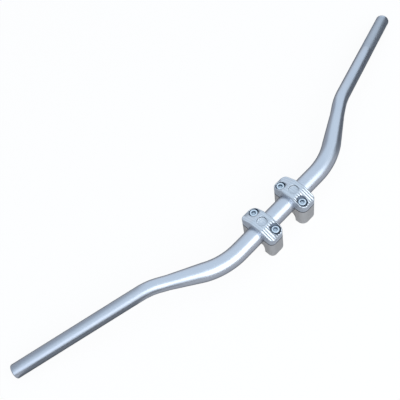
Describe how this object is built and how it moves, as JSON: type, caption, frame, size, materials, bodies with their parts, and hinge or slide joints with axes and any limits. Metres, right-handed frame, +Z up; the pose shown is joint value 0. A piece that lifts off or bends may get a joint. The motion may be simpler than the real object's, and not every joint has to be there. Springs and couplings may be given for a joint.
{
  "type": "motorcycle handlebar",
  "caption": "Tapered, bent tube handlebar of bare anodised aluminium, held in riser clamps with screwed caps, for steering a motorcycle.",
  "frame": {"origin": "midway between the two risers' mounting holes, on the plane of their bases", "axes": "+X along the tube towards the rider's left hand, +Y the way the arms sweep, +Z up the clamp screws, away from the risers' bases"},
  "size_m": [0.8536, 0.1656, 0.0554],
  "materials": {
    "anodised_tube": "satin silver anodised, fine knurl on the last stretch of the left grip",
    "machined_clamp": "machined, with cutter lines on the caps, silver anodised",
    "plated_screw": "bright zinc plated"
  },
  "bodies": {
    "root": {"handlebar": "anodised_tube", "left_riser": "machined_clamp", "right_riser": "machined_clamp", "left_clamp_cap": "machined_clamp", "right_clamp_cap": "machined_clamp", "clamp_screws": "plated_screw"}
  },
  "joints": []
}
